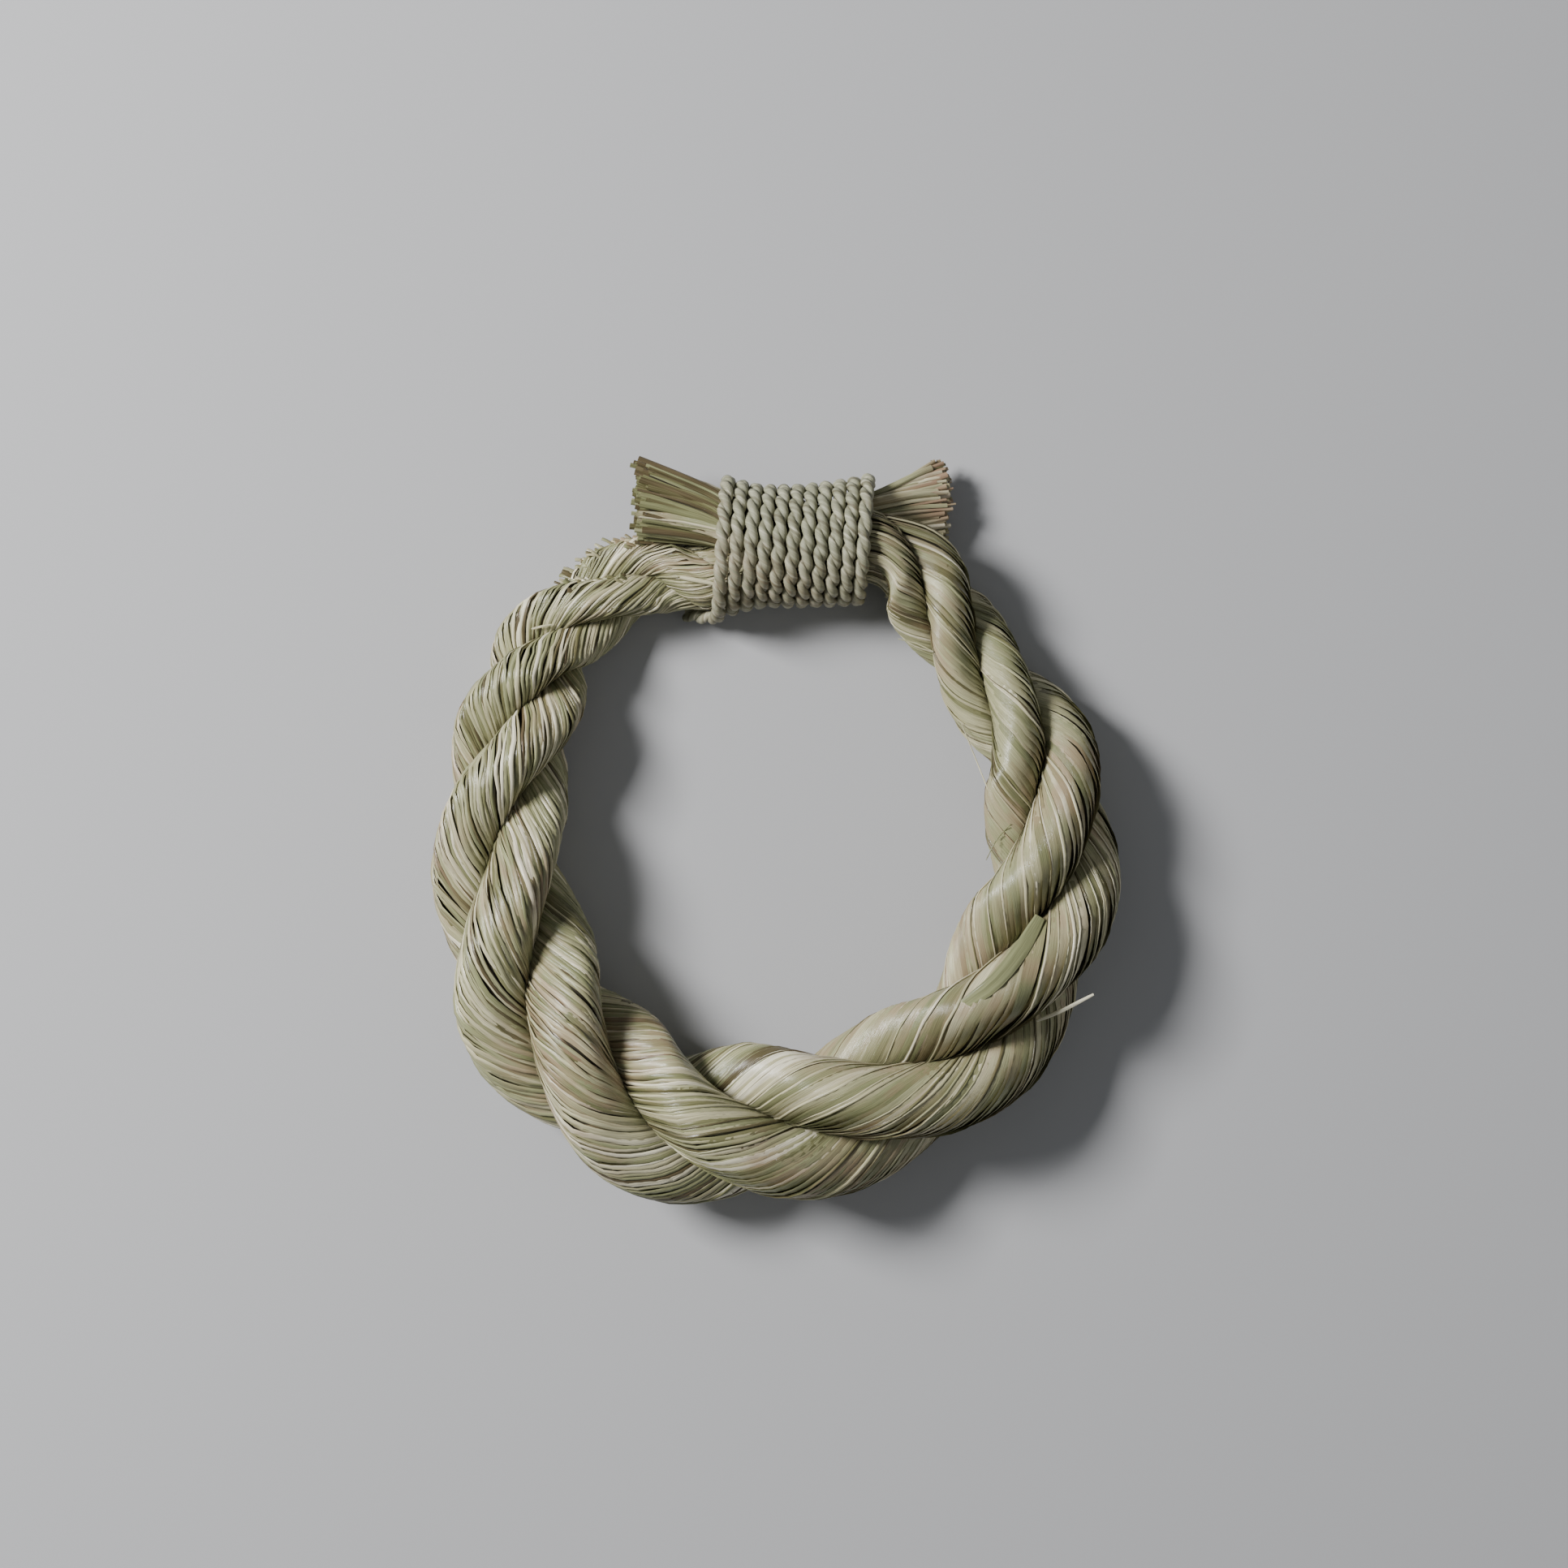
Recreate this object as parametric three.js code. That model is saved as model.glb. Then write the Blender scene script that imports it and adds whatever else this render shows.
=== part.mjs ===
// Straw ornament: a ring of three-strand straw rope whose two ends cross at the top and are
// bound with a thin straw cord. It lies on its back: +Z is up and the binding is on the +Y side.
// All lengths are millimetres.
import * as THREE from 'three';

// Ring of rope
const RING_RADIUS = 115;
const ROPE_RADIUS = 33;
const REST_FLAT = 3;
const STRANDS = 3;
const FIT_GAP = 0.3;

// Binding cord
const CORD_DIAMETER = 5.4;
const CORD_PITCH = 5.7;
const CORD_TURNS = 11;
const CORD_FLAT = 1.6;
const COIL_RADIUS_LEFT = 28.4;
const COIL_RADIUS_WAIST = 22.4;
const COIL_RADIUS_RIGHT = 24.2;
const COIL_RADIUS_DEEP = 22.9;
const COIL_SLANT = 0.72;
const TAIL_LENGTH = 17;

// Cut ends
const TUFT_LENGTH = 31;
const LEFT_TUFT_WIDTH = 33;
const LEFT_TUFT_THICKNESS = 20;
const RIGHT_TUFT_WIDTH = 30;
const RIGHT_TUFT_THICKNESS = 16;

// Facets
const ARC_STEPS = 8;
const RING_STEPS = 6;
const END_STEPS = 3;
const CORD_SIDES = 6;
const CORD_STEPS_PER_TURN = 20;

const STRAW_COLOURS = ['#aaa47d', '#a09b74', '#b1ab86'];
const CORD_COLOUR = '#919281';

const COIL_LENGTH = CORD_PITCH * CORD_TURNS;
const COIL_CENTRE_X = RING_RADIUS * 0.048;
const COIL_LEFT_X = COIL_CENTRE_X - COIL_LENGTH / 2;
const COIL_RIGHT_X = COIL_CENTRE_X + COIL_LENGTH / 2;
const COIL_CENTRE_Y = RING_RADIUS * 1.02;
const COIL_CENTRE_Z = COIL_RADIUS_DEEP + CORD_DIAMETER / 2 - CORD_FLAT;
const COIL_OUTWARD = new THREE.Vector3(0, 1, 0);

// The ring where each groove between two strands faces straight up, one after the other
// round the ring: its bearing in degrees from +X, and as shares of the driving sizes its
// distance from the middle, its girth, and how far it is held off the ground.
const GROOVES_ON_TOP = [
  { bearing: 117.4, reach: 1.032, girth: 0.515, lift: 0.06 },
  { bearing: 137.3, reach: 1.064, girth: 0.59, lift: 0 },
  { bearing: 154.1, reach: 1.01, girth: 0.74, lift: 0 },
  { bearing: 179.9, reach: 0.986, girth: 0.82, lift: 0 },
  { bearing: 212.6, reach: 1.045, girth: 1, lift: 0 },
  { bearing: 243, reach: 1.085, girth: 1.02, lift: 0 },
  { bearing: 273.1, reach: 1.019, girth: 1, lift: 0 },
  { bearing: 308.8, reach: 0.997, girth: 0.925, lift: 0 },
  { bearing: 343.8, reach: 0.972, girth: 0.88, lift: 0 },
  { bearing: 374.4, reach: 0.96, girth: 0.75, lift: 0 },
  { bearing: 399.8, reach: 0.921, girth: 0.576, lift: 0.02 },
  { bearing: 420.3, reach: 1.022, girth: 0.59, lift: 0.2 },
];

// A station holds everything that the strands' section needs at one place along the rope:
// its centre, its two half sizes with the direction of the first, how round it is pressed,
// and the lay, counted in strands that have come to the top.
function station(centre, first, second, direction, round, lay) {
  return { centre, sizes: new THREE.Vector3(first, second, round), turn: new THREE.Vector3(direction, lay, 0) };
}

function ringStation(groove, index) {
  const bearing = THREE.MathUtils.degToRad(groove.bearing);
  const reach = groove.reach * RING_RADIUS;
  const girth = groove.girth * ROPE_RADIUS;
  const height = girth - REST_FLAT + groove.lift * ROPE_RADIUS;
  const centre = new THREE.Vector3(reach * Math.cos(bearing), reach * Math.sin(bearing), height);
  return station(centre, girth, girth, Math.PI / 2, 0, index);
}

// Where the coil is narrowest, seen from above.
const WAIST_X = COIL_CENTRE_X - 0.12 * COIL_LENGTH;

function coilRadius(x) {
  const left = x < WAIST_X;
  const share = (x - WAIST_X) / ((left ? COIL_LEFT_X : COIL_RIGHT_X) - WAIST_X);
  const end = left ? COIL_RADIUS_LEFT : COIL_RADIUS_RIGHT;
  return COIL_RADIUS_WAIST + (end - COIL_RADIUS_WAIST) * share * share;
}

// The coil's axis bends outwards a little towards its right end.
function coilCentreY(x) {
  const share = Math.max(0, (x - WAIST_X) / (COIL_RIGHT_X - WAIST_X));
  return COIL_CENTRE_Y + 0.13 * COIL_RADIUS_WAIST * share * share;
}

// Inside the coil the two ends lie on each other and turn over from side by side to front and
// back. The way from the hidden end to the upper one is this angle, from +Y towards +Z.
function layerAngle(share) {
  return THREE.MathUtils.degToRad(20 + 95 * share);
}

function insideRadius(x, angle) {
  const clearance = CORD_DIAMETER / 2 + 3 * FIT_GAP;
  const wide = coilRadius(x) - clearance;
  const deep = COIL_RADIUS_DEEP - clearance;
  return 1 / Math.hypot(Math.cos(angle) / wide, Math.sin(angle) / deep);
}

function boundStation(share, upper, lay) {
  const x = COIL_LEFT_X + share * COIL_LENGTH;
  const angle = layerAngle(share);
  const half = insideRadius(x, angle) / 2;
  const side = upper ? half : -half;
  const y = coilCentreY(x) + side * Math.cos(angle);
  const z = COIL_CENTRE_Z + side * Math.sin(angle);
  const across = (0.7 + 0.04 * share) * insideRadius(x, angle + Math.PI / 2);
  return station(new THREE.Vector3(x, y, z), half - FIT_GAP, across, angle, 1, lay);
}

function leftTuftEnd(lay) {
  const x = COIL_LEFT_X - TUFT_LENGTH;
  const centre = new THREE.Vector3(x, COIL_CENTRE_Y + 0.56 * LEFT_TUFT_WIDTH, COIL_CENTRE_Z + 8);
  return station(centre, LEFT_TUFT_WIDTH / 2, LEFT_TUFT_THICKNESS / 2, 0, 1, lay);
}

function rightTuftEnd(lay) {
  const x = COIL_RIGHT_X + TUFT_LENGTH;
  const centre = new THREE.Vector3(x, COIL_CENTRE_Y + 0.68 * RIGHT_TUFT_WIDTH, COIL_CENTRE_Z - 14);
  return station(centre, RIGHT_TUFT_THICKNESS / 2, RIGHT_TUFT_WIDTH / 2, Math.PI / 2, 1, lay);
}

// From the right tuft through the back of the coil, once round the ring, and through the front
// of the coil to the left tuft.
function ropeStations() {
  const last = GROOVES_ON_TOP.length - 1;
  return [
    rightTuftEnd(-2.3),
    boundStation(1.05, false, -2.1),
    boundStation(0.67, false, -1.8),
    boundStation(0.38, false, -1.4),
    boundStation(0.14, false, -1.1),
    boundStation(-0.04, false, -0.8),
    ...GROOVES_ON_TOP.map(ringStation),
    boundStation(1.05, true, last + 0.6),
    boundStation(0.67, true, last + 1),
    boundStation(0.38, true, last + 1.3),
    boundStation(0.14, true, last + 1.5),
    boundStation(-0.04, true, last + 1.65),
    leftTuftEnd(last + 1.75),
  ];
}

function smoothCurve(points) {
  return new THREE.CatmullRomCurve3(points, false, 'catmullrom', 0.5);
}

// The share of the whole rope at which each section stands, closer together on the ring.
function sectionShares(stations) {
  const shares = [];
  const spans = stations.length - 1;
  for (let span = 0; span < spans; span += 1) {
    const pressed = stations[span].sizes.z + stations[span + 1].sizes.z > 1;
    const steps = pressed ? END_STEPS : RING_STEPS;
    for (let step = 0; step < steps; step += 1) {
      shares.push((span + step / steps) / spans);
    }
  }
  shares.push(1);
  return shares;
}

// One strand's section, from its inner edge round its crest. Its outline runs from the rope's
// centre along one flat side, over a round back that reaches the rope's girth, and home along
// the other flat side. Nothing goes below the ground.
function strandSection(place, strand) {
  const { centre, outward, first, second, round, direction, lay } = place;
  const sector = (2 * Math.PI) / STRANDS;
  const middle = sector * (0.5 + lay - strand);
  const inset = FIT_GAP / 2 / Math.sin(sector / 2);
  const axis = new THREE.Vector2(Math.cos(direction), Math.sin(direction));
  const cross = new THREE.Vector2(-axis.y, axis.x);
  const put = (reach, angle) => {
    const flat = new THREE.Vector2(Math.sin(angle), Math.cos(angle)).multiplyScalar(reach);
    const pressed = axis.clone().multiplyScalar(first * flat.dot(axis));
    pressed.addScaledVector(cross, second * flat.dot(cross));
    pressed.x += inset * Math.sin(middle);
    pressed.y += inset * Math.cos(middle);
    const point = centre.clone().addScaledVector(outward, pressed.x);
    point.z = Math.max(0, point.z + pressed.y);
    return point;
  };
  const points = [put(0, middle)];
  for (let step = 0; step <= ARC_STEPS; step += 1) {
    const offset = sector * (step / ARC_STEPS - 0.5);
    points.push(put((1 - round) * Math.cos(offset) + round, middle + offset));
  }
  return points;
}

// Across the rope and away from the ring's middle. In the coil and the cut ends this is square
// to the coil's length.
function placeAt(curves, share) {
  const tangent = curves.centre.getTangent(share);
  const sizes = curves.sizes.getPoint(share);
  const round = THREE.MathUtils.clamp(sizes.z, 0, 1);
  const outward = new THREE.Vector3(tangent.y, -tangent.x, 0).normalize();
  outward.lerp(COIL_OUTWARD, round).normalize();
  const turn = curves.turn.getPoint(share);
  return {
    centre: curves.centre.getPoint(share),
    outward,
    first: sizes.x,
    second: sizes.y,
    round,
    direction: turn.x,
    lay: turn.y,
  };
}

// Closed skin over a row of sections. The last quad of each row is split the other way, so that
// the flat sides of two neighbouring strands stay parallel.
function loft(sections) {
  const sides = sections[0].length;
  const indices = [];
  for (let row = 0; row < sections.length - 1; row += 1) {
    for (let side = 0; side < sides; side += 1) {
      const near = row * sides + side;
      const next = row * sides + ((side + 1) % sides);
      const far = near + sides;
      const farNext = next + sides;
      if (side === sides - 1) {
        indices.push(near, next, far, next, farNext, far);
      } else {
        indices.push(near, next, farNext, near, farNext, far);
      }
    }
  }
  const end = (sections.length - 1) * sides;
  for (let side = 1; side < sides - 1; side += 1) {
    indices.push(0, side + 1, side);
    indices.push(end, end + side, end + side + 1);
  }
  const geometry = new THREE.BufferGeometry().setFromPoints(sections.flat());
  geometry.setIndex(indices);
  geometry.computeVertexNormals();
  return geometry;
}

function makeStrand(curves, shares, strand) {
  const sections = shares.map((share) => strandSection(placeAt(curves, share), strand));
  const material = new THREE.MeshStandardMaterial({
    color: STRAW_COLOURS[strand % STRAW_COLOURS.length], roughness: 0.6, metalness: 0,
  });
  const mesh = new THREE.Mesh(loft(sections), material);
  mesh.name = `strand_${strand + 1}`;
  return mesh;
}

// The cord starts behind the rope at the right, winds to the left, slanting as it comes down
// the front, and runs out into a short tail under the left side of the ring.
class BindingCurve extends THREE.Curve {
  constructor() {
    super();
    this.coilAngle = 2 * Math.PI * (CORD_TURNS - 0.25);
    this.coilShare = CORD_TURNS / (CORD_TURNS + TAIL_LENGTH / (2 * Math.PI * COIL_RADIUS_DEEP));
    this.tail = this.tailCurve();
  }

  coilPoint(angle) {
    const advance = (CORD_PITCH * angle) / (2 * Math.PI);
    const x = COIL_RIGHT_X - COIL_SLANT - advance - COIL_SLANT * (1 - Math.cos(angle));
    const y = coilCentreY(x) + coilRadius(x) * Math.cos(angle);
    const z = COIL_CENTRE_Z + COIL_RADIUS_DEEP * Math.sin(angle);
    return new THREE.Vector3(x, y, z);
  }

  tailCurve() {
    const start = this.coilPoint(this.coilAngle - Math.PI / 2);
    const before = this.coilPoint(this.coilAngle - Math.PI / 2 - 0.05);
    const along = start.clone().sub(before).normalize();
    const knee = start.clone().addScaledVector(along, 0.55 * TAIL_LENGTH);
    const end = new THREE.Vector3(start.x - 0.8 * TAIL_LENGTH, start.y + 1, CORD_DIAMETER);
    return new THREE.QuadraticBezierCurve3(start, knee, end);
  }

  getPoint(share) {
    if (share <= this.coilShare) {
      const angle = -Math.PI / 2 + (share / this.coilShare) * this.coilAngle;
      return this.coilPoint(angle);
    }
    return this.tail.getPoint((share - this.coilShare) / (1 - this.coilShare));
  }
}

function makeBindingCord() {
  const outline = [];
  for (let side = 0; side < CORD_SIDES; side += 1) {
    const angle = (2 * Math.PI * side) / CORD_SIDES;
    outline.push(new THREE.Vector2(Math.cos(angle), Math.sin(angle)).multiplyScalar(CORD_DIAMETER / 2));
  }
  const geometry = new THREE.ExtrudeGeometry(new THREE.Shape(outline), {
    steps: Math.round(CORD_STEPS_PER_TURN * (CORD_TURNS + 0.25)),
    bevelEnabled: false,
    extrudePath: new BindingCurve(),
  });
  const position = geometry.getAttribute('position');
  for (let index = 0; index < position.count; index += 1) {
    position.setZ(index, Math.max(0, position.getZ(index)));
  }
  const material = new THREE.MeshStandardMaterial({ color: CORD_COLOUR, roughness: 0.65, metalness: 0 });
  const mesh = new THREE.Mesh(geometry, material);
  mesh.name = 'binding_cord';
  return mesh;
}

function makeOrnament() {
  const stations = ropeStations();
  const curves = {
    centre: smoothCurve(stations.map((row) => row.centre)),
    sizes: smoothCurve(stations.map((row) => row.sizes)),
    turn: smoothCurve(stations.map((row) => row.turn)),
  };
  const shares = sectionShares(stations);
  const ornament = new THREE.Group();
  for (let strand = 0; strand < STRANDS; strand += 1) {
    ornament.add(makeStrand(curves, shares, strand));
  }
  ornament.add(makeBindingCord());
  const middle = new THREE.Box3().setFromObject(ornament).getCenter(new THREE.Vector3());
  ornament.position.set(-middle.x, -middle.y, 0);
  return ornament;
}

export default makeOrnament();
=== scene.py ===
"""Straw ornament: a ring of thick three-strand straw rope whose crossed ends are bound with cord.

The rope's shape follows the same named sizes as its solids. Lengths are in millimetres while a
piece is worked out, and become metres when it is made a mesh.
"""

import logging
import math
from dataclasses import dataclass, field
from enum import Enum

import bmesh
import bpy
import numpy as np
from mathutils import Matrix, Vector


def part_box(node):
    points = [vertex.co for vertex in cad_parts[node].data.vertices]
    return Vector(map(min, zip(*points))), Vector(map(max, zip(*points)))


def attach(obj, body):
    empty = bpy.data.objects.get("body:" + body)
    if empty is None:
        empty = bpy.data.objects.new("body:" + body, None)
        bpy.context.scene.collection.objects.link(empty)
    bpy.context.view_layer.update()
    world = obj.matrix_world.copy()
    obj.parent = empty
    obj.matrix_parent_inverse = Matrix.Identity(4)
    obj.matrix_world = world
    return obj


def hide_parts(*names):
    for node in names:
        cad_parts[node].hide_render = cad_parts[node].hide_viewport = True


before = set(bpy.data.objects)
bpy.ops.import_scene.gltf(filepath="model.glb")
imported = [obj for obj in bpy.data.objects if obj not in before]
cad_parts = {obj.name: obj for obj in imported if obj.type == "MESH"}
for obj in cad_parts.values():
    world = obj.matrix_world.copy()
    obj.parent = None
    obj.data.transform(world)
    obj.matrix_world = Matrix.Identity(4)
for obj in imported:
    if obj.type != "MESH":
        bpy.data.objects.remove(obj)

Array = np.ndarray
Draw = np.random.Generator
Socket = bpy.types.NodeSocket
Pair = tuple[float, float]
Triple = tuple[float, float, float]
Inputs = dict[str | int, Socket | float | tuple]

LOG = logging.getLogger("straw_ornament")
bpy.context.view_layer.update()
MM = 0.001
BODY = "root"
UP = np.array([0.0, 0.0, 1.0])
SHARP_ANGLE = math.radians(55)
GOLDEN_SHARE = 3 - math.sqrt(5)
TONE_LIMITS = (0.02, 0.98)

# Degrees round a strand from its crest to the groove, where its skin dips in.
CREST_HALF = 120.0

# How finely the solids are divided, which their boxes depend on.
SOLID_STEPS_RING = 6
SOLID_STEPS_BOUND = 3
SOLID_CORNERS = 9

# The seeds of the random draws.
WOUND_SEED = 111
CUT_SEED = 301
CORD_SEED = 77


class Slot(Enum):
    """The record's material slots."""

    STRAW = "straw"
    CORD = "cord_straw"


@dataclass(frozen=True)
class Groove:
    """A place on the ring where a groove between two strands faces straight up.

    bearing is in degrees from +X; reach, girth and lift are shares of the driving sizes.
    """

    bearing: float
    reach: float
    girth: float
    lift: float = 0.0


GROOVES_ON_TOP = (
    Groove(117.4, 1.032, 0.515, 0.06),
    Groove(137.3, 1.064, 0.59),
    Groove(154.1, 1.01, 0.74),
    Groove(179.9, 0.986, 0.82),
    Groove(212.6, 1.045, 1.0),
    Groove(243.0, 1.085, 1.02),
    Groove(273.1, 1.019, 1.0),
    Groove(308.8, 0.997, 0.925),
    Groove(343.8, 0.972, 0.88),
    Groove(374.4, 0.96, 0.75),
    Groove(399.8, 0.921, 0.576, 0.02),
    Groove(420.3, 1.022, 0.59, 0.2),
)

# Stations in the coil: the share of its length from the left, and the lay there. In front the lay
# is counted from the ring's last groove.
BEHIND = ((1.05, -2.1), (0.67, -1.8), (0.38, -1.4), (0.14, -1.1), (-0.04, -0.8))
IN_FRONT = ((1.05, 0.6), (0.67, 1.0), (0.38, 1.3), (0.14, 1.5), (-0.04, 1.65))


def unit(vectors: Array) -> Array:
    """The vectors at length one."""
    return vectors / np.maximum(np.linalg.norm(vectors, axis=-1, keepdims=True), 1e-12)


def graded(pair: Pair, share: Array | float) -> Array | float:
    """A value, with what a share adds to it."""
    return pair[0] + pair[1] * share


def square_to(vectors: Array, along: Array) -> Array:
    """The vectors turned square to some directions, at length one."""
    return unit(vectors - along * (vectors * along).sum(axis=-1, keepdims=True))


def put(name: str, data: bpy.types.ID) -> bpy.types.Object:
    """Adds an object to the scene."""
    item = bpy.data.objects.new(name, data)
    bpy.context.collection.objects.link(item)
    return item


def spline(rows: Array, share: Array) -> Array:
    """Points of the uniform smooth curve through some rows.

    Args:
        rows: one row of values for each station.
        share: where on the curve, from 0 to 1.

    Returns:
        The rows' values there, with the values along the last axis.
    """
    last = len(rows) - 1
    place = np.clip(share, 0.0, 1.0) * last
    index = np.minimum(place.astype(int), last - 1)
    t = (place - index)[..., None]
    ends = np.vstack([2 * rows[0] - rows[1], rows, 2 * rows[-1] - rows[-2]])
    a, b, c, d = (ends[index + step] for step in range(4))
    bend = (2 * a - 5 * b + 4 * c - d) * t**2 + (3 * b - a - 3 * c + d) * t**3
    return 0.5 * (2 * b + (c - a) * t + bend)


def waves(draw: Draw, count: int, knots: int, q: Array) -> Array:
    """Random values for some stalks that change evenly from knot to knot, at each q along them."""
    rows = draw.normal(0.0, 1.0, (count, knots))
    return np.stack([np.interp(q, np.linspace(0, 1, knots), row) for row in rows])


@dataclass(frozen=True)
class Ramp:
    """A share that goes from 0 at its start to 1 over its length, or back for a negative one."""

    start: float
    length: float

    def at(self, place: Array) -> Array:
        """The share at some places."""
        return np.clip((place - self.start) / self.length, 0.0, 1.0)


@dataclass(frozen=True)
class Coil:
    """The binding cord's coil round the two ends of the rope.

    offset and reach are shares of the ring's radius, waist is a share of the coil's length, bow one
    of the waist's radius, and knee and tail_reach are shares of the tail.
    """

    ring_radius: float
    cord: float = 5.4
    pitch: float = 5.7
    turns: int = 11
    flat: float = 1.6
    radius_left: float = 28.4
    radius_waist: float = 22.4
    radius_right: float = 24.2
    radius_deep: float = 22.9
    slant: float = 0.72
    tail: float = 17.0
    fit_gap: float = 0.3
    gaps: int = 3
    offset: float = 0.048
    reach: float = 1.02
    waist: float = 0.12
    bow: float = 0.13
    open_turn: float = 0.25
    knee: float = 0.55
    tail_reach: float = 0.8
    tail_side: float = 1.0

    @property
    def length(self) -> float:
        """Length of the coil along X."""
        return self.pitch * self.turns

    @property
    def centre_x(self) -> float:
        """Middle of the coil along X."""
        return self.ring_radius * self.offset

    @property
    def left(self) -> float:
        """Left end of the coil."""
        return self.centre_x - self.length / 2

    @property
    def right(self) -> float:
        """Right end of the coil."""
        return self.centre_x + self.length / 2

    @property
    def middle_y(self) -> float:
        """The coil's axis along Y, left of the waist."""
        return self.ring_radius * self.reach

    @property
    def centre_z(self) -> float:
        """Height of the coil's axis."""
        return self.radius_deep + self.cord / 2 - self.flat

    @property
    def waist_x(self) -> float:
        """Where the coil is narrowest."""
        return self.centre_x - self.waist * self.length

    def radius(self, x: Array) -> Array:
        """Half width of the coil across Y at some places along X."""
        left = x < self.waist_x
        reach = np.where(left, self.left, self.right) - self.waist_x
        end = np.where(left, self.radius_left, self.radius_right)
        return self.radius_waist + (end - self.radius_waist) * ((x - self.waist_x) / reach) ** 2

    def centre_y(self, x: Array) -> Array:
        """The coil's axis, which bends outwards a little towards the right."""
        share = np.maximum(0.0, (x - self.waist_x) / (self.right - self.waist_x))
        return self.middle_y + self.bow * self.radius_waist * share**2

    def inside(self, x: float, angle: float) -> float:
        """Room inside the coil from its axis in one direction."""
        clearance = self.cord / 2 + self.gaps * self.fit_gap
        wide = float(self.radius(np.array(x))) - clearance
        deep = self.radius_deep - clearance
        return 1 / math.hypot(math.cos(angle) / wide, math.sin(angle) / deep)

    def point(self, angle: Array) -> Array:
        """The cord's centre line in the coil: angle 0 is the outer edge, a quarter the front."""
        advance = self.pitch * angle / (2 * math.pi)
        x = self.right - self.slant - advance - self.slant * (1 - np.cos(angle))
        y = self.centre_y(x) + self.radius(x) * np.cos(angle)
        z = self.centre_z + self.radius_deep * np.sin(angle)
        return np.stack([x, y, z], axis=-1)

    def route(self, step: float) -> Array:
        """The cord's whole centre line, with its tail, at even steps.

        Args:
            step: distance between two points.

        Returns:
            The points, from the hidden start at the right to the tail's end.
        """
        quarter = math.pi / 2
        last = 2 * math.pi * (self.turns - self.open_turn) - quarter
        coil = self.point(np.linspace(-quarter, last, 6000))
        start = coil[-1]
        along = unit(start - coil[-20])
        knee = start + along * self.knee * self.tail
        end_x = start[0] - self.tail_reach * self.tail
        end = np.array([end_x, start[1] + self.tail_side, self.cord])
        t = np.linspace(0.0, 1.0, 200)[1:, None]
        tail = (1 - t) ** 2 * start + 2 * t * (1 - t) * knee + t**2 * end
        points = np.vstack([coil, tail])
        lengths = np.linalg.norm(np.diff(points, axis=0), axis=1)
        walked = np.concatenate([[0.0], np.cumsum(lengths)])
        even = np.linspace(0.0, walked[-1], int(walked[-1] / step) + 1)
        return np.stack([np.interp(even, walked, points[:, axis]) for axis in range(3)], axis=-1)


@dataclass(frozen=True)
class Tuft:
    """One cut end: its size, how far it points outwards as a share of its width, and its rise."""

    width: float
    thickness: float
    side: float
    rise: float
    lay: float

    def end(self, coil: Coil, x: float) -> list[float]:
        """The middle of its cut end."""
        return [x, coil.middle_y + self.side * self.width, coil.centre_z + self.rise]


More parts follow.
